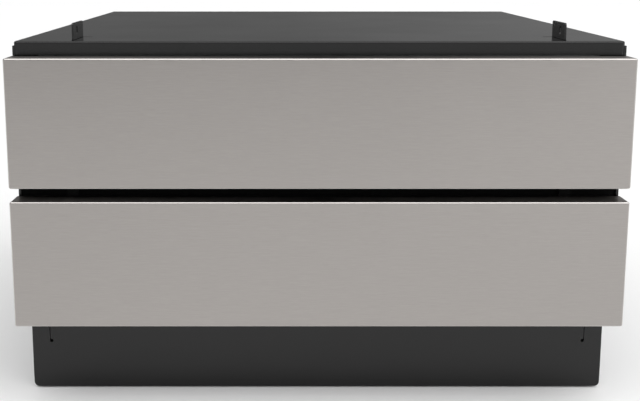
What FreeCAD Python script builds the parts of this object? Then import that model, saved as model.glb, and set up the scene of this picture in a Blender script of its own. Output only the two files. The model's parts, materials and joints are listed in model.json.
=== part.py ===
import FreeCAD, Part
import math
import os

# Laundry pedestal with two drawers: the steel base that a front-load washing machine stands on.
# Millimetres. Width along X, the drawer fronts face -Y, +Z is up. The origin is the middle of the
# footprint on the floor. Pieces for the right-hand side (+X) are mirrored for the left-hand side.

# ---- Driving dimensions -------------------------------------------------------------------------
# Overall
width = 684.0                # over a drawer front
depth = 680.0                # drawer fronts to the heads of the rear screws
toe_height = 100.0           # floor to the lower front
front_height = 144.0
front_gap = 14.6             # between the two fronts
top_reveal = 16.0            # upper front to the top surface

# Drawer fronts
front_thickness = 30.0
front_sheet = 0.8
front_corner = 2.5           # corners in elevation
front_rim = 2.0              # rounding round the face
backing_sheet = 0.8
backing_lip = 12.0           # how far the backing's rim goes into the front

# Chassis
sheet = 1.0
side_reveal = 2.5            # side panel inside the end of the fronts
front_clearance = 2.0        # chassis behind the fronts
side_bottom = 14.0           # floor to the side panels
side_hem = 3.0               # folded front edge of a side panel
hem_depth = 12.0
side_flange = 20.0           # rear flange of a side panel
top_flange = 12.0            # top flange of a side panel
back_gap = 0.5               # back panel below the top cover's skirt
bead_height = 1.4            # stiffening beads pressed into the back panel
bead_width = 16.0
bead_margin = 70.0           # from a side of the panel to the end of a bead
bead_count = 3
back_panel_lift = 2.0        # back panel above the side panels' lower edge

# Top cover
cover_side_inset = 1.5       # cover inside the side panels
cover_skirt = 5.1            # side skirts
cover_apron = 15.1           # front and rear skirts
apron_gap = 0.2              # apron beside the folded front edges
cover_rim = 2.0
cover_corner = 3.0

# Frame
frame_sheet = 1.5
post_width = 25.0
post_depth = 40.0
post_setback = 2.0           # posts behind the chassis face
mid_rail_overlap = 6.7       # mid rail behind each front's edge
mid_rail_depth = 26.0
brace_height = 20.0
brace_setback = 8.0          # front brace behind the chassis face
front_brace_depth = 64.0
tray_sheet = 1.5
tray_drop = 10.0             # tray's upper face below the lower front
tray_lip = 14.0              # turned-up front edge between the posts
rail_sheet = 2.0
rail_width = 40.0
rail_bottom = 22.0

# Hold-down brackets on the top
bracket_inset = 63.5         # from the side of the chassis to the plate's outer face
bracket_setback = 14.0       # from the chassis face
bracket_length = 53.0
bracket_rise = 19.0
bracket_sheet = 2.0
bracket_foot = 30.0
bracket_corner = 3.0
bracket_slot = (6.0, 10.0)
bracket_slot_front = 19.0    # from the plate's front end to the slot's middle
bracket_slot_rise = 5.0      # above the top surface
cutout_clearance = 1.0
cutout_notch = (10.0, 4.0)

# Kick plate
kick_setback = 62.0          # behind the drawer fronts
kick_inset = 3.0             # inside the end of the fronts
kick_bottom = 2.0
kick_corner = 6.0
kick_flange = 14.0
kick_slit_inset = 21.0
kick_slit = 0.9
kick_slit_depth = 29.0
relief_diameter = 4.0
kick_flange_end = 24.0       # flanges stop this far inside the slits

# Levelling feet
foot_setback = 30.0          # front feet behind the kick plate
rear_foot_inset = 40.0
pad_diameter = 38.0
pad_height = 12.0
pad_chamfer = 2.0
stud_diameter = 10.0
stud_socket = 8.0            # how deep the stud stands in the pad
stud_room = 23.5             # above the stud, inside the rail
hex_flats = 17.0
collar_height = 7.5
nut_height = 10.0
turn_clearance = 0.35        # beside anything that turns or rolls
rail_hole_clearance = 1.0

# Drawer boxes
box_bottom_margin = 12.0     # box above the front's lower edge
box_top_margin = 16.0        # box below the front's upper edge
box_sheet = 1.0
box_hem = 3.0
box_hem_height = 6.0
box_flange = 12.0
box_back_drop = 8.0          # back lower than the sides
rear_space = 89.4            # behind the slides
mat_thickness = 2.0
mat_margin = 3.4
divider_sheet = 1.2
divider_clearance = 0.6
divider_flange = 12.0
divider_ear = 20.0
ear_drop = 5.0
ear_lap = 4.0                # ear over the end of the divider's flange

# Ball slides: outer, middle and inner members with two rows of caged balls between each pair
slide_thickness = 12.7
slide_height = 45.0
slide_sheet = 1.2
slide_gap = 0.6              # between flat faces that slide past each other
slide_overlap = 40.0         # inner over outer member with the drawer fully out
slide_setback = 3.0          # behind the front of the post
slide_lip = 1.7
outer_ball = 4.8
inner_ball = 3.6
cage_sheet = 0.8
cage_margin = 3.5
cage_tip_gap = 0.4           # tip of a cage's flange to the next web or flange
inner_ball_gap = 0.7         # inner balls to the web of their cage
lip_reach = (1.35, 1.25)     # how far the outer and middle members' lips reach over the balls
balls_per_row = 6
middle_shorter = (2.0, 4.0)  # at the front and the back
inner_shorter = (-2.0, 7.0)
box_shorter = 3.0            # box in front of the slides' rear ends
slide_overhang = 2.0         # slides behind the rear posts

# Fasteners, bumpers and catches
screw_diameter = 4.0
screw_head = (9.0, 1.6)      # diameter, height
screw_length = 8.0
hole_clearance = 0.2
back_screw_rows = 4
back_screw_margin = 30.0     # from an end of the rear posts to the nearest screw
kick_screw_spacing = 200.0
bumper_inset = 61.5
bumper_size = (13.0, 26.0)
bumper_diameter = 12.0
bumper_edge = 14.0           # from a front's edge to a corner bumper
magnet_size = (10.0, 24.0)
magnet_edge = 28.0           # from a front's edge to a magnet
catch_clearance = 0.4

# Modelling allowances
past = 1.0                   # how far a cutting solid runs past the face it cuts
hair = 0.01                  # what a full chamfer or rounding is short of meeting itself

# ---- Places worked out from them ----------------------------------------------------------------
front_face = -depth / 2
front_back = front_face + front_thickness
chassis_face = front_back + front_clearance
rear_face = depth / 2 - screw_head[1]
flange_face = rear_face - 2 * sheet       # front of the side panels' rear flanges
chassis_side = width / 2 - side_reveal
side_inside = chassis_side - sheet
hem_inside = chassis_side - side_hem

lower_front = toe_height
upper_front = lower_front + front_height + front_gap
front_levels = {"lower": lower_front, "upper": upper_front}
top_level = upper_front + front_height + top_reveal
cover_underside = top_level - sheet
side_top = top_level - cover_skirt
post_top = side_top - sheet
tray_top = lower_front - tray_drop
tray_underside = tray_top - tray_sheet
kick_back = front_face + kick_setback + sheet

post_face = side_inside - post_width               # inner face of the posts, which the slides are on
post_front = chassis_face + post_setback
slide_front = post_front + slide_setback
slide_rear = flange_face - rear_space
travel = slide_rear - slide_front - slide_overlap
rear_post = slide_rear - slide_overhang - post_depth

box_side = post_face - slide_thickness             # outer face of a drawer box
box_inside = box_side - box_sheet
box_rear = slide_rear - box_shorter
box_height = front_height - box_bottom_margin - box_top_margin

bracket_outer = chassis_side - bracket_inset
bracket_front = chassis_face + bracket_setback
foot_x = side_inside - rail_width / 2
foot_rows = {"front": kick_back + foot_setback, "rear": flange_face - rear_foot_inset}
back_screw_x = side_inside - side_flange / 2
back_screw_step = (post_top - tray_top - 2 * back_screw_margin) / (back_screw_rows - 1)
back_screw_levels = [tray_top + back_screw_margin + i * back_screw_step for i in range(back_screw_rows)]
kick_screw_row = kick_back + kick_flange / 2


# ---- Building blocks ----------------------------------------------------------------------------
def block(x, y, z):
    """A box between two values along each axis."""
    corner = FreeCAD.Vector(x[0], y[0], z[0])
    return Part.makeBox(x[1] - x[0], y[1] - y[0], z[1] - z[0], corner)


def rod(radius, start, axis, length):
    """A cylinder from a start point along an axis."""
    return Part.makeCylinder(radius, length, FreeCAD.Vector(*start), FreeCAD.Vector(*axis))


def hexagon(flats, x, y, z):
    """A hexagonal bar standing between two levels."""
    radius = flats / math.sqrt(3)
    angles = [math.radians(60 * i) for i in range(7)]
    points = [FreeCAD.Vector(x + radius * math.cos(a), y + radius * math.sin(a), z[0]) for a in angles]
    return Part.Face(Part.makePolygon(points)).extrude(FreeCAD.Vector(0, 0, z[1] - z[0]))


def edges_along(solid, axis):
    axis = FreeCAD.Vector(*axis)
    return [e for e in solid.Edges if e.tangentAt(e.FirstParameter).cross(axis).Length < 1e-6]


def rounded(solid, axis, corner, end=None, rim=0.0):
    """Rounds a box's edges along an axis, then the rim of its end face on the given side."""
    solid = solid.makeFillet(corner, edges_along(solid, axis))
    if end is None:
        return solid
    end = FreeCAD.Vector(*end)
    face = max(solid.Faces, key=lambda f: f.CenterOfMass.dot(end))
    return solid.makeFillet(rim, face.Edges)


def joined(*solids):
    """One solid from touching ones."""
    return solids[0].multiFuse(list(solids[1:])).removeSplitter()


def mirrored(shape):
    """The left-hand piece of a right-hand one."""
    return shape.mirror(FreeCAD.Vector(0, 0, 0), FreeCAD.Vector(1, 0, 0))


def group(solids):
    """Several separate solids that share a node."""
    return Part.makeCompound(solids)


def save(name, shape):
    shape.exportStep(os.path.join("parts", name + ".step"))


def save_pair(name, shape):
    save(name + "_right", shape)
    save(name + "_left", mirrored(shape))


def both_sides(solids):
    """Right-hand solids with their left-hand copies."""
    return list(solids) + [mirrored(s) for s in solids]


# ---- Fasteners ----------------------------------------------------------------------------------
def screw(place, axis):
    """A washer-head screw whose head stands on a face at a place; its axis points into the face."""
    head_diameter, head_height = screw_head
    outward = [-a for a in axis]
    head = rod(head_diameter / 2, place, outward, head_height)
    return joined(head, rod(screw_diameter / 2, place, axis, screw_length))


def screw_hole(place, axis):
    """A clearance hole on both sides of a place."""
    start = [p - a * screw_length for p, a in zip(place, axis)]
    return rod(screw_diameter / 2 + hole_clearance, start, axis, 2 * screw_length)


back_screws = [((back_screw_x, rear_face, z), (0, -1, 0)) for z in back_screw_levels]
back_screws += [((-x, y, z), axis) for (x, y, z), axis in back_screws]
kick_screw_level = tray_underside - sheet
kick_screws = [((x, kick_screw_row, kick_screw_level), (0, 0, 1))
               for x in (-kick_screw_spacing, 0.0, kick_screw_spacing)]


def drilled(solid, screws):
    for place, axis in screws:
        solid = solid.cut(screw_hole(place, axis))
    return solid


# ---- Casing -------------------------------------------------------------------------------------
def side_hem_block():
    return block((hem_inside, chassis_side), (chassis_face, chassis_face + hem_depth),
                 (tray_underside, side_top))


def side_panel():
    """Outer sheet with a folded front edge, a toe notch, and flanges at the top and the back."""
    skin = block((side_inside, chassis_side), (chassis_face, rear_face - sheet),
                 (side_bottom, side_top))
    notch = block((0, width), (-depth, kick_back), (0, tray_underside))
    top = block((side_inside - top_flange, side_inside), (chassis_face + hem_depth, flange_face + sheet),
                (post_top, side_top))
    rear = block((side_inside - side_flange, side_inside), (flange_face, flange_face + sheet),
                 (side_bottom, side_top))
    return drilled(joined(skin.cut(notch), side_hem_block(), top, rear), back_screws)


def bead(level, face, inset):
    """The raised side of a bead, with sloping edges, standing on a face."""
    x = side_inside - bead_margin - inset
    half_width = bead_width / 2 - inset
    solid = block((-x, x), (face - sheet, face + bead_height), (level - half_width, level + half_width))
    rim = max(solid.Faces, key=lambda f: f.CenterOfMass.y)
    return solid.makeChamfer(bead_height - hair, rim.Edges)


def back_panel():
    """A flat sheet with beads that are raised outside and hollow inside."""
    bottom = side_bottom + back_panel_lift
    top = top_level - cover_apron - back_gap
    panel = block((-side_inside, side_inside), (rear_face - sheet, rear_face), (bottom, top))
    step = (top - bottom) / (bead_count + 1)
    for i in range(1, bead_count + 1):
        panel = panel.fuse(bead(bottom + i * step, rear_face, 0.0))
        panel = panel.cut(bead(bottom + i * step, rear_face - sheet, sheet / 2))
    return drilled(panel.removeSplitter(), back_screws)


def bracket_cutout():
    """The hole in the top cover that a hold-down bracket comes up through, with its notch."""
    y0 = bracket_front
    y1 = bracket_front + bracket_length
    inner = bracket_outer - bracket_sheet - cutout_clearance
    levels = (cover_underside - past, top_level + past)
    slot = block((inner, bracket_outer + cutout_clearance),
                 (y0 - cutout_clearance, y1 + cutout_clearance), levels)
    notch = block((inner - cutout_notch[0], inner), (y1 - cutout_notch[1], y1), levels)
    return joined(slot, notch)


def top_cover():
    """A shallow pan turned upside down: side skirts, a front apron and a rear skirt."""
    x = chassis_side - cover_side_inset
    bottom = top_level - cover_apron
    outer = rounded(block((-x, x), (chassis_face, rear_face), (bottom, top_level)),
                    (0, 0, 1), cover_corner, (0, 0, 1), cover_rim)
    inner = rounded(block((sheet - x, x - sheet), (chassis_face + sheet, rear_face - sheet),
                          (bottom - past, cover_underside)),
                    (0, 0, 1), cover_corner - sheet, (0, 0, 1), cover_rim - sheet)
    cover = outer.cut(inner)
    below = (bottom - past, side_top)
    beside = block((hem_inside - apron_gap, width), (-depth, depth), below)
    corner = block((x - cover_corner - apron_gap, width), (0, depth), below)
    for cutter in both_sides([beside, corner, bracket_cutout()]):
        cover = cover.cut(cutter)
    return cover


def kick_plate():
    """Recessed plate below the drawers, with slit ends and flanges folded back."""
    x = width / 2 - kick_inset
    kick_face = kick_back - sheet
    plate = block((-x, x), (kick_face, kick_back), (kick_bottom, tray_underside))
    lower = [e for e in edges_along(plate, (0, 1, 0)) if e.CenterOfMass.z < kick_bottom + past]
    plate = plate.makeFillet(kick_corner, lower)
    slit_x = x - kick_slit_inset
    slit = block((slit_x - kick_slit / 2, slit_x + kick_slit / 2), (-depth, 0),
                 (tray_underside - kick_slit_depth, toe_height))
    hole = rod(relief_diameter / 2,
               (slit_x + kick_slit / 2 - relief_diameter / 2, kick_face - past,
                tray_underside - kick_slit_depth), (0, 1, 0), sheet + 2 * past)
    for cutter in both_sides([slit, hole]):
        plate = plate.cut(cutter)
    flange_x = slit_x - kick_flange_end
    upper = block((-flange_x, flange_x), (kick_back - sheet, kick_back + kick_flange),
                  (tray_underside - sheet, tray_underside))
    under = block((-flange_x, flange_x), (kick_back - sheet, kick_back + kick_flange),
                  (kick_bottom, kick_bottom + sheet))
    return drilled(joined(plate, upper, under), kick_screws)


# ---- Frame --------------------------------------------------------------------------------------
def base_tray():
    tray = block((-side_inside, side_inside), (post_front, flange_face), (tray_underside, tray_top))
    for hem in both_sides([side_hem_block()]):
        tray = tray.cut(hem)
    lip = block((-post_face, post_face), (post_front, post_front + tray_sheet),
                (tray_underside, tray_top + tray_lip))
    return drilled(joined(tray, lip), kick_screws)


def base_rail():
    """A channel open towards the middle, drilled for the feet."""
    outer = block((side_inside - rail_width, side_inside), (kick_back, flange_face),
                  (rail_bottom, tray_underside))
    hollow = block((0, side_inside - rail_sheet), (-depth, depth),
                   (rail_bottom + rail_sheet, tray_underside - rail_sheet))
    rail = outer.cut(hollow)
    for y in foot_rows.values():
        hole = rod(stud_diameter / 2 + rail_hole_clearance, (foot_x, y, rail_bottom - past),
                   (0, 0, 1), rail_sheet + 2 * past)
        rail = rail.cut(hole)
    return rail


def corner_post(y):
    """A channel with its web facing the drawers."""
    outer = block((post_face, side_inside), (y, y + post_depth), (tray_top, post_top))
    hollow = block((post_face + frame_sheet, width), (y + frame_sheet, y + post_depth - frame_sheet),
                   (0, 2 * top_level))
    return outer.cut(hollow).cut(side_hem_block())


def front_mid_rail():
    """A channel between the front posts that closes the gap between the drawer fronts."""
    z = (lower_front + front_height - mid_rail_overlap, upper_front + mid_rail_overlap)
    outer = block((-post_face, post_face), (post_front, post_front + mid_rail_depth), z)
    hollow = block((-width, width), (post_front + frame_sheet, 0),
                   (z[0] + frame_sheet, z[1] - frame_sheet))
    return outer.cut(hollow)


def brace(y, length, top):
    """A channel across the chassis, open downwards."""
    outer = block((-post_face, post_face), (y, y + length), (top - brace_height, top))
    hollow = block((-width, width), (y + frame_sheet, y + length - frame_sheet),
                   (0, top - frame_sheet))
    return outer.cut(hollow)


def top_braces():
    front = brace(chassis_face + brace_setback, front_brace_depth, cover_underside - bracket_sheet)
    rear = brace(rear_post, post_depth, cover_underside)
    return group([front, rear])


def hold_down_bracket():
    """An angle whose foot lies under the top cover and whose plate stands through it."""
    y = (bracket_front, bracket_front + bracket_length)
    base = cover_underside - bracket_sheet
    plate = block((bracket_outer - bracket_sheet, bracket_outer), y, (base, top_level + bracket_rise))
    upper = [e for e in edges_along(plate, (1, 0, 0)) if e.CenterOfMass.z > top_level]
    plate = plate.makeFillet(bracket_corner, upper)
    slot_y = bracket_front + bracket_slot_front
    slot_z = top_level + bracket_slot_rise
    slot = block((0, width), (slot_y - bracket_slot[0] / 2, slot_y + bracket_slot[0] / 2),
                 (slot_z, slot_z + bracket_slot[1]))
    slot = rounded(slot, (1, 0, 0), bracket_slot[0] / 2 - hair)
    foot = block((bracket_outer - bracket_foot, bracket_outer), y, (base, cover_underside))
    return joined(plate.cut(slot), foot)


# ---- Feet ---------------------------------------------------------------------------------------
def foot_pad(x, y):
    pad = rod(pad_diameter / 2, (x, y, 0), (0, 0, 1), pad_height)
    rim = [e for e in pad.Edges if len(e.Vertexes) == 1 and e.CenterOfMass.z > pad_height / 2]
    pad = pad.makeChamfer(pad_chamfer, rim)
    socket = rod(stud_diameter / 2 + turn_clearance, (x, y, pad_height - stud_socket),
                 (0, 0, 1), stud_socket + past)
    return pad.cut(socket)


def foot_stud(x, y):
    """A stud with a hexagonal collar; it turns in the pad and in the nut."""
    bottom = pad_height - stud_socket + turn_clearance
    top = tray_underside - rail_sheet - stud_room
    shank = rod(stud_diameter / 2, (x, y, bottom), (0, 0, 1), top - bottom)
    ends = [e for e in shank.Edges if len(e.Vertexes) == 1]
    shank = shank.makeChamfer(stud_diameter / 10, ends)
    collar_base = pad_height + turn_clearance
    return joined(shank, hexagon(hex_flats, x, y, (collar_base, collar_base + collar_height)))


def foot_nut(x, y):
    base = rail_bottom + rail_sheet
    nut = hexagon(hex_flats, x, y, (base, base + nut_height))
    return nut.cut(rod(stud_diameter / 2 + turn_clearance, (x, y, base - past), (0, 0, 1),
                       nut_height + 2 * past))


# ---- Small pieces on the chassis face -----------------------------------------------------------
def front_bumpers():
    """Rubber stops behind the fronts: one on each end of the mid rail, one near each outer corner."""
    tip = front_back + turn_clearance
    x = chassis_side - bumper_inset
    middle = upper_front - front_gap / 2
    pad = block((x - bumper_size[0] / 2, x + bumper_size[0] / 2), (tip, post_front),
                (middle - bumper_size[1] / 2, middle + bumper_size[1] / 2))
    stops = [rounded(pad, (0, 1, 0), bumper_size[0] / 3)]
    post_x = (post_face + hem_inside) / 2
    for level in (lower_front + bumper_edge, upper_front + front_height - bumper_edge):
        stops.append(rod(bumper_diameter / 2, (post_x, tip, level), (0, 1, 0), post_front - tip))
    return group(both_sides(stops))


def catch_magnets():
    post_x = (post_face + hem_inside) / 2
    levels = (lower_front + front_height - magnet_edge, upper_front + magnet_edge)
    magnets = [block((post_x - magnet_size[0] / 2, post_x + magnet_size[0] / 2),
                     (front_back + catch_clearance, post_front),
                     (z - magnet_size[1] / 2, z + magnet_size[1] / 2)) for z in levels]
    return group(both_sides(magnets))


# ---- Ball slides --------------------------------------------------------------------------------
# A slide's section is drawn with u inwards from the post and v up and down from its middle.
outer_lip = slide_thickness - slide_lip            # where the outer and middle members' flanges end
outer_cage = slide_sheet + slide_gap
middle_web = outer_cage + cage_sheet + slide_gap
inner_cage = middle_web + slide_sheet + slide_gap
inner_web = slide_thickness - slide_sheet
inner_tip = inner_cage + cage_sheet + cage_tip_gap

outer_flange = slide_height / 2 - slide_sheet      # inner face of the outer member's flanges
outer_ball_v = outer_flange - turn_clearance - outer_ball / 2
middle_flange = outer_ball_v - outer_ball / 2 - turn_clearance
inner_ball_v = middle_flange - slide_sheet - turn_clearance - inner_ball / 2
inner_flange = inner_ball_v - inner_ball / 2 - turn_clearance
outer_ball_u = (middle_web + slide_sheet + outer_lip - slide_sheet) / 2
inner_ball_u = inner_cage + cage_sheet + inner_ball_gap + inner_ball / 2

middle_ends = (slide_front + middle_shorter[0], slide_rear - middle_shorter[1])
inner_ends = (slide_front + inner_shorter[0], slide_rear - inner_shorter[1])
cage_ends = (slide_front + travel / 4 + cage_margin, inner_ends[1] - travel / 4 - cage_margin)


def strip(u, v, ends, level):
    """A strip of a slide between two u values and two v values."""
    return block((post_face - u[1], post_face - u[0]), ends, (level + v[0], level + v[1]))


def channel(web, reach, half_height, thickness, ends, level, lip=None):
    """A web with two flanges, and lips at their tips that end at lip, measured from the middle."""
    solids = [strip(web, (-half_height, half_height), ends, level)]
    for side in (-1, 1):
        v = sorted((side * (half_height - thickness), side * half_height))
        solids.append(strip(reach, v, ends, level))
        if lip is not None:
            tip = (reach[1] - thickness, reach[1])
            face = half_height - thickness if lip < half_height else half_height
            solids.append(strip(tip, sorted((side * lip, side * face)), ends, level))
    return joined(*solids)


def slide_outer(level):
    return channel((0.0, slide_sheet), (0.0, outer_lip), slide_height / 2, slide_sheet,
                   (slide_front, slide_rear), level, outer_ball_v + outer_ball / 2 - lip_reach[0])


def slide_middle(level):
    return channel((middle_web, middle_web + slide_sheet), (middle_web, outer_lip), middle_flange,
                   slide_sheet, middle_ends, level, outer_ball_v - outer_ball / 2 + lip_reach[1])


def slide_inner(level):
    return channel((inner_web, slide_thickness), (inner_tip, slide_thickness), inner_flange,
                   slide_sheet, inner_ends, level)


def cage(web, tip, ball_u, ball_v, ball, level):
    """A strip cage with its two rows of balls."""
    strips = channel((web, web + cage_sheet), (web, tip), ball_v + cage_sheet / 2, cage_sheet,
                     cage_ends, level)
    x = post_face - ball_u
    step = (cage_ends[1] - cage_ends[0]) / balls_per_row
    balls = []
    for i in range(balls_per_row):
        y = cage_ends[0] + (i + 0.5) * step
        for side in (-1, 1):
            z = level + side * ball_v
            pocket = rod(ball / 2 + turn_clearance, (x, y, z - cage_sheet), (0, 0, 1), 2 * cage_sheet)
            strips = strips.cut(pocket)
            balls.append(Part.makeSphere(ball / 2, FreeCAD.Vector(x, y, z)))
    return [strips] + balls


def outer_cages(level):
    solids = cage(outer_cage, outer_lip - cage_tip_gap, outer_ball_u, outer_ball_v, outer_ball, level)
    return group(both_sides(solids))


def inner_cages(level):
    solids = cage(inner_cage, inner_web - cage_tip_gap, inner_ball_u, inner_ball_v, inner_ball, level)
    return group(both_sides(solids))


# ---- Drawers ------------------------------------------------------------------------------------
def front_skin(level):
    """The visible pan of a drawer front, open at the back."""
    x = width / 2
    outer = rounded(block((-x, x), (front_face, front_back), (level, level + front_height)),
                    (0, 1, 0), front_corner, (0, -1, 0), front_rim)
    inner = rounded(block((front_sheet - x, x - front_sheet),
                          (front_face + front_sheet, front_back + past),
                          (level + front_sheet, level + front_height - front_sheet)),
                    (0, 1, 0), front_corner - front_sheet, (0, -1, 0), front_rim - front_sheet)
    return outer.cut(inner)


def front_backing(level):
    """A tray pressed into the back of the front, which the box is screwed to."""
    x = width / 2 - front_sheet
    z = (level + front_sheet, level + front_height - front_sheet)
    outer = rounded(block((-x, x), (front_back - backing_lip, front_back), z),
                    (0, 1, 0), front_corner - front_sheet)
    hollow = block((backing_sheet - x, x - backing_sheet),
                   (front_back - backing_lip - past, front_back - backing_sheet),
                   (z[0] + backing_sheet, z[1] - backing_sheet))
    return outer.cut(rounded(hollow, (0, 1, 0), front_corner - front_sheet - backing_sheet))


def box_wall(base):
    """A side of a drawer box: hemmed on top, with flanges for the floor and the front."""
    top = base + box_height
    floor = base + 2 * box_sheet
    wall = block((box_inside, box_side), (front_back, box_rear), (base, top))
    hem = block((box_side - box_hem, box_side), (front_back, box_rear), (top - box_hem_height, top))
    under = block((box_inside - box_flange, box_side), (front_back, box_rear), (base, base + box_sheet))
    ahead = block((box_inside - box_flange, box_side), (front_back, front_back + box_sheet),
                  (floor, top - box_hem_height))
    return joined(wall, hem, under, ahead)


def box_floor(base):
    return block((-box_inside, box_inside), (front_back, box_rear),
                 (base + box_sheet, base + 2 * box_sheet))


def box_back(base):
    top = base + box_height - box_back_drop
    x = box_side - box_hem
    wall = block((-box_inside, box_inside), (box_rear - box_sheet, box_rear),
                 (base + 2 * box_sheet, top))
    hem = block((-x, x), (box_rear - box_hem, box_rear), (top - box_hem_height, top))
    return joined(wall, hem)


def mat(base):
    x = box_inside - mat_margin
    z = base + 2 * box_sheet
    return block((-x, x), (front_back + box_sheet + mat_margin, box_rear - box_hem - mat_margin),
                 (z, z + mat_thickness))


def divider(base):
    """A folded sheet across the box that hangs on the hems of its sides."""
    top = base + box_height + turn_clearance + divider_sheet
    floor = base + 2 * box_sheet + mat_thickness + divider_clearance
    x = box_side - box_hem - divider_clearance
    y = (front_back + box_rear) / 2
    plate = block((-x, x), (y - divider_sheet / 2, y + divider_sheet / 2), (floor, top))
    flange = block((-x, x), (y, y + divider_flange), (top - divider_sheet, top))
    solids = [plate, flange]
    tip = box_side + turn_clearance + divider_sheet
    ear_y = (y - divider_sheet / 2, y + divider_ear)
    ear = joined(block((x - ear_lap, tip), ear_y, (top - divider_sheet, top)),
                 block((tip - divider_sheet, tip), ear_y, (top - divider_sheet - ear_drop, top)))
    return joined(*solids, *both_sides([ear]))


# ---- The nodes ----------------------------------------------------------------------------------
def save_chassis():
    save("top_cover", top_cover())
    save("back_panel", back_panel())
    save("kick_plate", kick_plate())
    save("base_tray", base_tray())
    save("front_mid_rail", front_mid_rail())
    save("top_braces", top_braces())
    save_pair("side_panel", side_panel())
    save_pair("base_rail", base_rail())
    save_pair("corner_post_front", corner_post(post_front))
    save_pair("corner_post_rear", corner_post(rear_post))
    save_pair("hold_down_bracket", hold_down_bracket())
    save("front_bumpers", front_bumpers())
    save("catch_magnets", catch_magnets())
    save("chassis_screws", group([screw(place, axis) for place, axis in back_screws + kick_screws]))


def save_feet():
    nuts = []
    for row, y in foot_rows.items():
        save_pair("foot_pad_" + row, foot_pad(foot_x, y))
        save_pair("foot_stud_" + row, foot_stud(foot_x, y))
        nuts.append(foot_nut(foot_x, y))
    save("foot_nuts", group(both_sides(nuts)))


def save_drawer(name, level):
    base = level + box_bottom_margin
    slide_level = base + box_height / 2
    save(name + "_front_skin", front_skin(level))
    save(name + "_front_backing", front_backing(level))
    save_pair(name + "_box_side", box_wall(base))
    save(name + "_box_floor", box_floor(base))
    save(name + "_box_back", box_back(base))
    save(name + "_mat", mat(base))
    save(name + "_divider", divider(base))
    save_pair(name + "_slide_outer", slide_outer(slide_level))
    save_pair(name + "_slide_middle", slide_middle(slide_level))
    save_pair(name + "_slide_inner", slide_inner(slide_level))
    save(name + "_outer_cages", outer_cages(slide_level))
    save(name + "_inner_cages", inner_cages(slide_level))


os.makedirs("parts", exist_ok=True)
save_chassis()
save_feet()
for name, level in front_levels.items():
    save_drawer(name, level)
print("drawer travel", travel, "top level", top_level, "box height", box_height)
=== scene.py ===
import json
import math

import bmesh
import bpy
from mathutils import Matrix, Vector


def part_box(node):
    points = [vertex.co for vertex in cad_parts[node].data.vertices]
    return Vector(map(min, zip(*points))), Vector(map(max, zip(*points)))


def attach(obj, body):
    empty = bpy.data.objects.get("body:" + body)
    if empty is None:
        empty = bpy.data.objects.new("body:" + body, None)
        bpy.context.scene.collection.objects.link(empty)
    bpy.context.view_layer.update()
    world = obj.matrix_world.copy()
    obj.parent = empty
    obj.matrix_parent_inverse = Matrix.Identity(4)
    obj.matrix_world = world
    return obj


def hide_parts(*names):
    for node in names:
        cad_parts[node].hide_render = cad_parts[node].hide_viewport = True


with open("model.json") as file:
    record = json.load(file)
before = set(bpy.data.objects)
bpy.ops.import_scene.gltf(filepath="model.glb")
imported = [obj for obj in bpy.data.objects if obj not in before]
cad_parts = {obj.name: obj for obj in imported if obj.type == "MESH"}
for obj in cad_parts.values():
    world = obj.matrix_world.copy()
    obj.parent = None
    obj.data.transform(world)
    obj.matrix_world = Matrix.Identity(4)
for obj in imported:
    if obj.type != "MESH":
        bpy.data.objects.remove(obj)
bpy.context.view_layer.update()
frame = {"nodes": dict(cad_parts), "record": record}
NODES = frame["nodes"]
DRAWERS = ("lower", "upper")
SIDES = ("left", "right")
ROWS = ("front", "rear")
MM = 0.001


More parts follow.
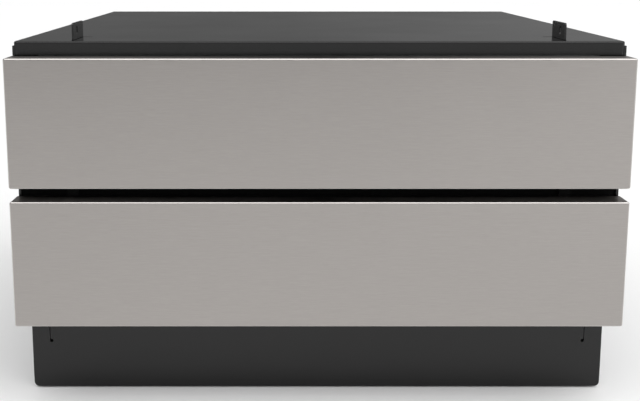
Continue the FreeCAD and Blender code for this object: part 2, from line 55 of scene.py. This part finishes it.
# ---- Materials ----------------------------------------------------------------------------------
class Paint:
    """A Principled material and short ways to add procedural detail to it."""

    def __init__(self, name, color, roughness, metallic=0.0, **numbers):
        self.material = bpy.data.materials.new(name)
        self.material.use_nodes = True
        self.nodes = self.material.node_tree.nodes
        self.links = self.material.node_tree.links
        self.shader = self.nodes["Principled BSDF"]
        self.color = color
        self.put("Base Color", (*color, 1.0))
        self.put("Roughness", roughness)
        self.put("Metallic", metallic)
        for label, value in numbers.items():
            self.put(label.replace("_", " "), value)
        self.position = self.nodes.new("ShaderNodeTexCoord").outputs["Object"]
        self.bump = None

    def put(self, label, value):
        self.shader.inputs[label].default_value = value

    def node(self, kind, **settings):
        made = self.nodes.new("ShaderNode" + kind)
        for label, value in settings.items():
            setattr(made, label, value)
        return made

    def noise(self, per_metre, detail=4.0, roughness=0.55):
        """Noise with its own number of features per metre along X, Y and Z."""
        stretch = self.node("Mapping")
        stretch.inputs["Scale"].default_value = per_metre
        self.links.new(self.position, stretch.inputs["Vector"])
        noise = self.node("TexNoise")
        noise.inputs["Scale"].default_value = 1.0
        noise.inputs["Detail"].default_value = detail
        noise.inputs["Roughness"].default_value = roughness
        self.links.new(stretch.outputs["Vector"], noise.inputs["Vector"])
        return noise.outputs["Fac"]

    def ramp(self, value, low, high, out_low=0.0, out_high=1.0):
        """The value stretched from low..high to out_low..out_high."""
        rescale = self.node("MapRange")
        numbers = (low, high, out_low, out_high)
        for label, number in zip(("From Min", "From Max", "To Min", "To Max"), numbers):
            rescale.inputs[label].default_value = number
        self.links.new(value, rescale.inputs["Value"])
        return rescale.outputs["Result"]

    def compute(self, operation, a, b):
        made = self.node("Math", operation=operation)
        for socket, value in zip(made.inputs, (a, b)):
            if isinstance(value, float):
                socket.default_value = value
            else:
                self.links.new(value, socket)
        return made.outputs["Value"]

    def blend(self, a, b, share):
        """Two values added together, the first with the given share."""
        rest = self.compute("MULTIPLY", b, 1.0 - share)
        return self.compute("ADD", self.compute("MULTIPLY", a, share), rest)

    def tint(self, factor, color):
        """Mixes the colour so far towards another one."""
        mix = self.node("Mix", data_type="RGBA")
        base = self.shader.inputs["Base Color"]
        if base.is_linked:
            self.links.new(base.links[0].from_socket, mix.inputs["A"])
        else:
            mix.inputs["A"].default_value = (*self.color, 1.0)
        mix.inputs["B"].default_value = (*color, 1.0)
        self.links.new(factor, mix.inputs["Factor"])
        self.links.new(mix.outputs["Result"], base)

    def roughen(self, factor, low, high):
        self.links.new(self.ramp(factor, 0.0, 1.0, low, high), self.shader.inputs["Roughness"])

    def raise_by(self, height, metres):
        """Adds relief of a given depth."""
        bump = self.node("Bump")
        bump.inputs["Distance"].default_value = metres
        self.links.new(height, bump.inputs["Height"])
        if self.bump is not None:
            self.links.new(self.bump, bump.inputs["Normal"])
        self.bump = bump.outputs["Normal"]
        self.links.new(self.bump, self.shader.inputs["Normal"])

    def edge_wear(self, color, amount, reach=1.0 * MM):
        """Rubs the sharp edges through to another colour, broken up by noise."""
        softened = self.node("Bevel", samples=4)
        softened.inputs["Radius"].default_value = reach
        facing = self.node("VectorMath", operation="DOT_PRODUCT")
        self.links.new(softened.outputs["Normal"], facing.inputs[0])
        self.links.new(self.node("NewGeometry").outputs["Normal"], facing.inputs[1])
        edge = self.ramp(facing.outputs["Value"], 0.99, 0.88)
        patches = self.ramp(self.noise((70, 70, 70)), 0.42, 0.66, 0.0, amount)
        self.tint(self.compute("MULTIPLY", edge, patches), color)


def brushed_front():
    """Stainless sheet brushed along the width of the front, with a painted highlight along its rounded rim.
    """
    steel, bright_line, rim_highlight = (0.343, 0.323, 0.308), (0.374, 0.352, 0.336), (0.58, 0.555, 0.535)
    paint = Paint("brushed_front", steel, 0.34, 1.0, Anisotropic=0.5)
    tangent = paint.node("Tangent", direction_type="RADIAL", axis="Z")
    paint.links.new(tangent.outputs["Tangent"], paint.shader.inputs["Tangent"])
    lines = paint.blend(paint.noise((26, 1100, 1100), 3.0, 0.6), paint.noise((90, 2600, 2600), 2.0, 0.5), 0.5)
    paint.tint(paint.ramp(lines, 0.38, 0.62), bright_line)
    # Painted highlight: on the rounded rim, where the normal leans between forward and up, down or sideways,
    # the colour is lightened towards bright steel
    facing = paint.node("SeparateXYZ")
    paint.links.new(paint.node("TexCoord").outputs["Normal"], facing.inputs["Vector"])
    forward = paint.compute("MULTIPLY", facing.outputs["Y"], facing.outputs["Y"])
    rim = paint.compute("MULTIPLY", forward, paint.compute("SUBTRACT", 1.0, forward))
    paint.tint(paint.ramp(rim, 0.05, 0.25), rim_highlight)
    smudges = paint.noise((5, 5, 5), 5.0)
    paint.roughen(paint.blend(lines, smudges, 0.6), 0.26, 0.42)
    paint.raise_by(lines, 0.00004)
    return paint.material


def powder_coat(name, color, roughness, worn, gloss=0.5, grain=900, depth=0.00002):
    """Sprayed paint with a fine orange-peel surface, rubbed a little at the edges."""
    paint = Paint(name, color, roughness, Specular_IOR_Level=gloss)
    clouds = paint.noise((4, 4, 4), 5.0)
    paint.tint(paint.ramp(clouds, 0.35, 0.7, 0.0, 0.5), tuple(1.15 * c for c in color))
    paint.edge_wear(worn, 0.5)
    paint.roughen(paint.ramp(clouds, 0.3, 0.7), roughness - 0.02, roughness + 0.03)
    paint.raise_by(paint.noise((grain, grain, grain), 2.0), depth)
    return paint.material


def galvanised():
    """Zinc-coated sheet with a faint spangle."""
    zinc, dull_grain, stain = (0.50, 0.51, 0.52), (0.37, 0.38, 0.395), (0.30, 0.305, 0.31)
    paint = Paint("galvanised_sheet", zinc, 0.42, 1.0)
    cells = paint.node("TexVoronoi", feature="F1")
    cells.inputs["Scale"].default_value = 110.0
    paint.links.new(paint.position, cells.inputs["Vector"])
    shade = paint.node("SeparateColor")
    paint.links.new(cells.outputs["Color"], shade.inputs["Color"])
    paint.tint(paint.ramp(shade.outputs["Red"], 0.0, 1.0, 0.0, 0.6), dull_grain)
    stains = paint.noise((9, 9, 3), 5.0)
    paint.tint(paint.ramp(stains, 0.5, 0.75, 0.0, 0.35), stain)
    paint.roughen(paint.blend(shade.outputs["Green"], stains, 0.6), 0.32, 0.54)
    paint.raise_by(paint.noise((160, 160, 160), 3.0), 0.00003)
    return paint.material


def plated(name, color, roughness, along):
    """Zinc-plated or bright steel, drawn along one direction."""
    paint = Paint(name, color, roughness, 1.0)
    lines = paint.noise(along, 3.0)
    paint.tint(paint.ramp(lines, 0.35, 0.65, 0.0, 0.6), tuple(0.72 * c for c in color))
    paint.edge_wear(tuple(min(1.0, 1.3 * c) for c in color), 0.6, 0.4 * MM)
    paint.roughen(paint.ramp(lines, 0.3, 0.7), roughness - 0.06, roughness + 0.12)
    paint.raise_by(lines, 0.00002)
    return paint.material


def soft_polymer(name, color, roughness, grain, gloss=0.5, depth=0.00005):
    """Rubber or moulded plastic: dusty, with a fine spark-eroded grain."""
    paint = Paint(name, color, roughness, Specular_IOR_Level=gloss)
    dust = paint.noise((22, 22, 22), 5.0)
    paint.tint(paint.ramp(dust, 0.45, 0.75, 0.0, 0.4), tuple(1.4 * c + 0.002 for c in color))
    paint.roughen(dust, roughness - 0.05, roughness + 0.08)
    paint.raise_by(paint.noise((grain, grain, grain), 2.0), depth)
    return paint.material


def magnet_face():
    """Sintered magnet under dull nickel plate."""
    paint = Paint("magnet", (0.09, 0.09, 0.095), 0.38, 0.8)
    grain = paint.noise((300, 300, 300), 4.0)
    paint.tint(paint.ramp(grain, 0.4, 0.7), (0.16, 0.16, 0.165))
    paint.roughen(grain, 0.3, 0.5)
    paint.raise_by(grain, 0.00004)
    return paint.material


def studio_floor():
    """Plain pale floor with the faintest grain."""
    paint = Paint("studio_floor", (0.90, 0.90, 0.90), 0.9)
    paint.tint(paint.ramp(paint.noise((3, 3, 3), 2.0), 0.3, 0.7, 0.0, 0.5), (0.89, 0.89, 0.89))
    return paint.material


# One material for each of the frame's material slots
MATERIALS = {
    "brushed_front": brushed_front(),
    "graphite_paint": powder_coat("graphite_paint", (0.0045, 0.0045, 0.0045), 0.2, (0.05, 0.05, 0.052), 0.39),
    # Painted shade: matt_black is a darker, duller copy of the graphite paint, for the chassis parts that sit
    # in shade between and under the fronts
    "matt_black": powder_coat("matt_black", (0.003, 0.003, 0.003), 0.75, (0.02, 0.02, 0.02), 0.1),
    "galvanised_sheet": galvanised(),
    "drawer_paint": powder_coat("drawer_paint", (0.17, 0.173, 0.178), 0.42, (0.34, 0.345, 0.35)),
    "slide_steel": plated("slide_steel", (0.56, 0.57, 0.58), 0.33, (900, 12, 900)),
    "cage_steel": plated("cage_steel", (0.62, 0.62, 0.63), 0.28, (400, 10, 400)),
    "zinc_fasteners": plated("zinc_fasteners", (0.60, 0.60, 0.575), 0.34, (300, 300, 300)),
    "foot_plastic": soft_polymer("foot_plastic", (0.022, 0.022, 0.023), 0.5, 1500),
    "drawer_mat": soft_polymer("drawer_mat", (0.030, 0.030, 0.031), 0.7, 900),
    "bumper_rubber": soft_polymer("bumper_rubber", (0.006, 0.006, 0.006), 0.8, 1200, 0.15),
    "magnet": magnet_face(),
}


# ---- Mesh building ------------------------------------------------------------------------------
def keep(name, bm, body, slot, replaces=(), sharp_above=35.0):
    """Turns a bmesh into a piece that rides on a CAD body."""
    bmesh.ops.recalc_face_normals(bm, faces=bm.faces)
    mesh = bpy.data.meshes.new(name)
    bm.to_mesh(mesh)
    bm.free()
    mesh.materials.append(MATERIALS[slot])
    mesh.shade_smooth()
    mesh.set_sharp_from_angle(angle=math.radians(sharp_above))
    piece = bpy.data.objects.new(name, mesh)
    bpy.context.scene.collection.objects.link(piece)
    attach(piece, body)
    if replaces:
        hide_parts(*replaces)
    return piece


def even_shading(piece):
    """Keeps flat faces flat beside rounded edges."""
    weighted = piece.modifiers.new("flat_faces", "WEIGHTED_NORMAL")
    weighted.weight = 100
    weighted.keep_sharp = True


def bridge(bm, rings):
    """Quads between each closed ring and the next."""
    for first, second in zip(rings, rings[1:]):
        for i in range(len(first)):
            j = (i + 1) % len(first)
            bm.faces.new((first[i], first[j], second[j], second[i]))


def rounded_ring(bm, x, z, radius, y, steps=6):
    """Vertices round an upright rectangle with rounded corners, at one depth."""
    centres = ((x[1] - radius, z[1] - radius), (x[0] + radius, z[1] - radius),
               (x[0] + radius, z[0] + radius), (x[1] - radius, z[0] + radius))
    ring = []
    for quarter, (cx, cz) in enumerate(centres):
        for k in range(steps + 1):
            a = math.pi / 2 * (quarter + k / steps)
            ring.append(bm.verts.new((cx + radius * math.cos(a), y, cz + radius * math.sin(a))))
    return ring


def round_rings(bm, centre, axis, profile, segments, radius_at=None):
    """Rings round an axis through a centre, one for each (radius, height) of a profile."""
    axis = Vector(axis).normalized()
    across = axis.orthogonal().normalized()
    beside = axis.cross(across)
    rings = []
    for radius, height in profile:
        ring = []
        for i in range(segments):
            a = 2 * math.pi * i / segments
            r = radius_at(radius, height, a) if radius_at else radius
            ring.append(bm.verts.new(Vector(centre) + axis * height
                                     + (across * math.cos(a) + beside * math.sin(a)) * r))
        rings.append(ring)
    return rings


def turned(bm, centre, axis, profile, segments, radius_at=None):
    """A solid turned round an axis, closed at both ends of its profile."""
    rings = round_rings(bm, centre, axis, profile, segments, radius_at)
    bridge(bm, rings)
    bm.faces.new(rings[0])
    bm.faces.new(rings[-1])


def ribbon(bm, outline, y):
    """A closed outline in X and Z drawn out along Y."""
    ends = [[bm.verts.new((x, depth, z)) for x, z in outline] for depth in y]
    bridge(bm, ends)
    for end in ends:
        bm.faces.new(end)


# ---- Pieces -------------------------------------------------------------------------------------
def front_pan(drawer):
    """The folded stainless front, with a rounded rim and soft corners."""
    node = f"{drawer}_front_skin"
    low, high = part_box(node)
    rim, corner, sheet, steps = 2.0 * MM, 2.5 * MM, 0.8 * MM, 8
    bm = bmesh.new()
    rings = [rounded_ring(bm, (low.x, high.x), (low.z, high.z), corner, high.y)]
    for k in range(steps + 1):
        a = math.pi / 2 * k / steps
        inset = rim * (1 - math.cos(a))
        rings.append(rounded_ring(bm, (low.x + inset, high.x - inset), (low.z + inset, high.z - inset),
                                  corner - inset, low.y + rim * (1 - math.sin(a))))
    bridge(bm, rings)
    bm.faces.new(rings[-1])
    pan = keep(f"{drawer}_front_pan", bm, f"{drawer}_drawer", "brushed_front", (node,), 60.0)
    thick = pan.modifiers.new("sheet", "SOLIDIFY")
    thick.thickness = sheet
    thick.offset = -1.0
    even_shading(pan)


def ribbed_mat(drawer):
    """A rubber mat with ribs from front to back and a plain border."""
    node = f"{drawer}_mat"
    low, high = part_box(node)
    border, pitch, rib, slope, groove = 9.0 * MM, 16.0 * MM, 8.0 * MM, 1.0 * MM, 1.3 * MM
    count = int((high.x - low.x - 2 * border) / pitch)
    start = (low.x + high.x - count * pitch + rib) / 2
    top = [(low.x, high.z)]
    for i in range(count):
        x = start + i * pitch
        top += [(x, high.z), (x + slope, high.z - groove), (x + pitch - rib - slope, high.z - groove),
                (x + pitch - rib, high.z)]
    outline = top + [(high.x, high.z), (high.x, low.z), (low.x, low.z)]
    bm = bmesh.new()
    ribbon(bm, outline, (low.y + border, high.y - border))
    for y in ((low.y, low.y + border), (high.y - border, high.y)):
        ribbon(bm, [(low.x, low.z), (high.x, low.z), (high.x, high.z), (low.x, high.z)], y)
    keep(f"{drawer}_ribbed_mat", bm, f"{drawer}_drawer", "drawer_mat", (node,))


def drawer_screws(drawer):
    """Pan heads inside the box that hold it on the slides, and rivets at its rear corners."""
    head = [(3.4 * MM, 0.0), (3.5 * MM, 0.5 * MM), (3.0 * MM, 1.2 * MM), (1.6 * MM, 1.6 * MM),
            (1.2 * MM, 1.0 * MM)]
    rivet = [(2.4 * MM, 0.0), (2.3 * MM, 0.4 * MM), (1.4 * MM, 0.9 * MM), (0.6 * MM, 1.0 * MM)]
    sheet, rivet_inset, rivet_drop = 1.0 * MM, 10.0 * MM, 6.0 * MM
    low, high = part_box(f"{drawer}_box_side_right")
    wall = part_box(f"{drawer}_box_floor")[1].x
    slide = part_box(f"{drawer}_slide_inner_right")
    level = (slide[0].z + slide[1].z) / 2
    bm = bmesh.new()
    for sign in (-1, 1):
        for share in (0.06, 0.36, 0.66, 0.94):
            y = low.y + share * (high.y - low.y)
            turned(bm, (sign * wall, y, level), (-sign, 0, 0), head, 20)
        for share in (0.25, 0.75):
            z = low.z + share * (high.z - low.z) - rivet_drop
            turned(bm, (sign * (wall - rivet_inset), high.y - sheet, z), (0, -1, 0), rivet, 16)
    keep(f"{drawer}_drawer_screws", bm, f"{drawer}_drawer", "zinc_fasteners")


def screw_places(node, head):
    """Where each CAD screw's flange sits and the way it faces, from the node's separate solids."""
    bm = bmesh.new()
    bm.from_mesh(node.data)
    bmesh.ops.remove_doubles(bm, verts=bm.verts, dist=1e-6)
    places, seen = [], set()
    for start in bm.verts:
        if start in seen:
            continue
        island, waiting = [], [start]
        seen.add(start)
        while waiting:
            vertex = waiting.pop()
            island.append(vertex.co)
            for edge in vertex.link_edges:
                other = edge.other_vert(vertex)
                if other not in seen:
                    seen.add(other)
                    waiting.append(other)
        low = Vector(min(c[i] for c in island) for i in range(3))
        high = Vector(max(c[i] for c in island) for i in range(3))
        middle = (low + high) / 2
        if high.y - low.y > high.z - low.z:
            places.append((Vector((middle.x, high.y - head, middle.z)), (0, 1, 0)))
        else:
            places.append((Vector((middle.x, middle.y, low.z + head)), (0, 0, -1)))
    bm.free()
    return places


def chassis_screws():
    """Flanged hexagon heads with a dished top, each on its shank."""
    node, head, shank = "chassis_screws", 1.6 * MM, 8.0 * MM
    flange = [(2.0 * MM, -shank), (2.0 * MM, 0.0), (4.5 * MM, 0.0), (4.5 * MM, 0.4 * MM),
              (3.4 * MM, 0.6 * MM)]
    hexagon = [(3.5 * MM, 0.4 * MM), (3.5 * MM, 1.3 * MM), (3.1 * MM, head), (1.9 * MM, head),
               (1.5 * MM, 1.2 * MM)]
    bm = bmesh.new()
    for place, outward in screw_places(NODES[node], head):
        turned(bm, place, outward, flange, 24)
        turned(bm, place, outward, hexagon, 6)
    keep("chassis_screw_heads", bm, "chassis", "zinc_fasteners", (node,), 25.0)


def threaded_stud(row, side):
    """A stud with a real screw thread above its hexagonal collar."""
    node = f"foot_stud_{row}_{side}"
    low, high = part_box(node)
    pad_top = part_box(f"foot_pad_{row}_{side}")[1].z
    centre = Vector(((low.x + high.x) / 2, (low.y + high.y) / 2, 0.0))
    major, depth, pitch, steps_per_turn = 5.0 * MM, 0.9 * MM, 1.5 * MM, 6
    flats, clearance, height, chamfer = 17.0 * MM, 0.35 * MM, 7.5 * MM, 0.9 * MM
    neck, tip, lead_in = 4.9 * MM, 4.0 * MM, 1.0 * MM
    bottom = pad_top + clearance
    top = bottom + height

    def helix(radius, level, angle):
        if radius < major:
            return radius
        phase = (level / pitch - angle / (2 * math.pi)) % 1.0
        return radius - depth * abs(2 * phase - 1)

    bm = bmesh.new()
    plain = [(4.2 * MM, low.z), (neck, low.z + 0.7 * MM), (neck, bottom)]
    steps = round((high.z - top - lead_in) / (pitch / steps_per_turn))
    thread = [(major, top - 0.3 * MM + i * pitch / steps_per_turn) for i in range(steps)]
    turned(bm, centre, (0, 0, 1), plain + thread + [(tip, high.z)], 24, helix)
    wide = flats / math.sqrt(3)
    collar = [(0.9 * wide, bottom), (wide, bottom + chamfer), (wide, top - chamfer), (0.9 * wide, top)]
    turned(bm, centre, (0, 0, 1), collar, 6)
    keep(f"threaded_stud_{row}_{side}", bm, f"{row}_{side}_foot_stud", "zinc_fasteners", (node,), 50.0)


def foot_cup(row, side):
    """A moulded foot with grip ribs round its wall and a socket for the stud."""
    node = f"foot_pad_{row}_{side}"
    low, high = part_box(node)
    centre = Vector(((low.x + high.x) / 2, (low.y + high.y) / 2, 0.0))
    outer, top = (high.x - low.x) / 2, high.z
    ribs, rib_depth, ribbed = 36, 0.7 * MM, (1.6 * MM, 9.2 * MM)
    socket, socket_floor, ring_depth = 5.35 * MM, 4.0 * MM, 0.8 * MM

    def grip(radius, level, angle):
        if radius < outer - 0.1 * MM or not ribbed[0] < level < ribbed[1]:
            return radius
        return radius - rib_depth * (0.5 + 0.5 * math.cos(ribs * angle))

    side_wall = [(outer - 1.2 * MM, 0.0), (outer, 1.2 * MM), (outer, 1.7 * MM), (outer, 9.1 * MM),
                 (outer, 9.6 * MM)]
    shoulder = [(outer - 0.5 * MM, top - 1.2 * MM), (outer - 2.0 * MM, top - 0.1 * MM),
                (outer - 2.6 * MM, top)]
    sunk_ring = [(9.5 * MM, top), (9.0 * MM, top - ring_depth), (7.6 * MM, top - ring_depth), (7.1 * MM, top)]
    mouth = [(5.7 * MM, top), (socket, top - 0.4 * MM), (socket, socket_floor)]
    bm = bmesh.new()
    turned(bm, centre, (0, 0, 1), side_wall + shoulder + sunk_ring + mouth, 144, grip)
    keep(f"foot_cup_{row}_{side}", bm, f"{row}_{side}_foot_pad", "foot_plastic", (node,), 40.0)


def paint_nodes():
    """Gives every CAD node its procedural material, and the ones that show softened edges."""
    folded, moulded = 0.25 * MM, 0.8 * MM
    for part in frame["record"]["subparts"]:
        name, node = part["node"], NODES[part["node"]]
        node.data.materials.clear()
        node.data.materials.append(MATERIALS[part["material_slot"]])
        if node.hide_render or name.endswith("_cages"):
            continue
        weld = node.modifiers.new("joined_corners", "WELD")
        weld.merge_threshold = 1e-6
        soft = node.modifiers.new("soft_edges", "BEVEL")
        soft.width = moulded if name in ("front_bumpers", "foot_nuts") else folded
        soft.segments = 2
        soft.limit_method = "ANGLE"
        soft.angle_limit = math.radians(50.0)
        even_shading(node)


# ---- Studio -------------------------------------------------------------------------------------
def lay_stage():
    """A plain pale floor under a soft overhead dome, in a dim room that the camera sees as white."""
    bpy.ops.mesh.primitive_plane_add(size=60.0, location=(0, 0, 0))
    floor = bpy.context.object
    floor.name = "studio_floor"
    floor.data.materials.append(studio_floor())

    world = bpy.data.worlds.new("studio")
    bpy.context.scene.world = world
    world.use_nodes = True
    nodes, links = world.node_tree.nodes, world.node_tree.links
    room = nodes["Background"]
    room.inputs["Color"].default_value = (1, 1, 1, 1)
    direction = nodes.new("ShaderNodeSeparateXYZ")
    links.new(nodes.new("ShaderNodeTexCoord").outputs["Generated"], direction.inputs["Vector"])
    brighter_right = nodes.new("ShaderNodeMapRange")
    brighter_right.inputs["From Max"].default_value = 0.6
    brighter_right.inputs["To Min"].default_value = 0.19
    brighter_right.inputs["To Max"].default_value = 0.36
    links.new(direction.outputs["X"], brighter_right.inputs["Value"])
    links.new(brighter_right.outputs["Result"], room.inputs["Strength"])
    walls = nodes.new("ShaderNodeBackground")
    walls.inputs["Color"].default_value = (1, 1, 1, 1)
    seen = nodes.new("ShaderNodeLightPath")
    either = nodes.new("ShaderNodeMixShader")
    links.new(seen.outputs["Is Camera Ray"], either.inputs[0])
    links.new(room.outputs["Background"], either.inputs[1])
    links.new(walls.outputs["Background"], either.inputs[2])
    links.new(either.outputs["Shader"], nodes["World Output"].inputs["Surface"])

    dome = bpy.data.lights.new("overhead_dome", "SUN")
    dome.energy = 3.2
    dome.angle = math.radians(88.0)
    overhead = bpy.data.objects.new("overhead_dome", dome)
    overhead.rotation_euler = (math.radians(24.0), math.radians(6.0), 0.0)
    bpy.context.scene.collection.objects.link(overhead)

    card = bpy.data.lights.new("side_card", "AREA")
    card.size = 1.6
    card.energy = 9.0
    beside = bpy.data.objects.new("side_card", card)
    beside.location = (1.9, -1.9, 0.9)
    right_of_fronts = Vector((0.3, -0.34, 0.25))
    beside.rotation_euler = (right_of_fronts - beside.location).to_track_quat("-Z", "Y").to_euler()
    bpy.context.scene.collection.objects.link(beside)
    bpy.context.scene.view_settings.view_transform = "Standard"


def set_camera():
    """In front of the object and a little to its left, looking slightly down."""
    data = bpy.data.cameras.new("camera")
    data.lens = 56.34
    data.shift_x = 0.0513
    data.shift_y = -0.11
    camera = bpy.data.objects.new("camera", data)
    camera.location = (-0.0356, -1.4139, 0.5074)
    degrees_down = 9.66
    camera.rotation_euler = (math.radians(90.0 - degrees_down), 0.0, 0.0)
    bpy.context.scene.collection.objects.link(camera)
    bpy.context.scene.camera = camera


set_camera()
lay_stage()
for drawer in DRAWERS:
    front_pan(drawer)
    ribbed_mat(drawer)
    drawer_screws(drawer)
chassis_screws()
for row in ROWS:
    for side in SIDES:
        threaded_stud(row, side)
        foot_cup(row, side)
paint_nodes()
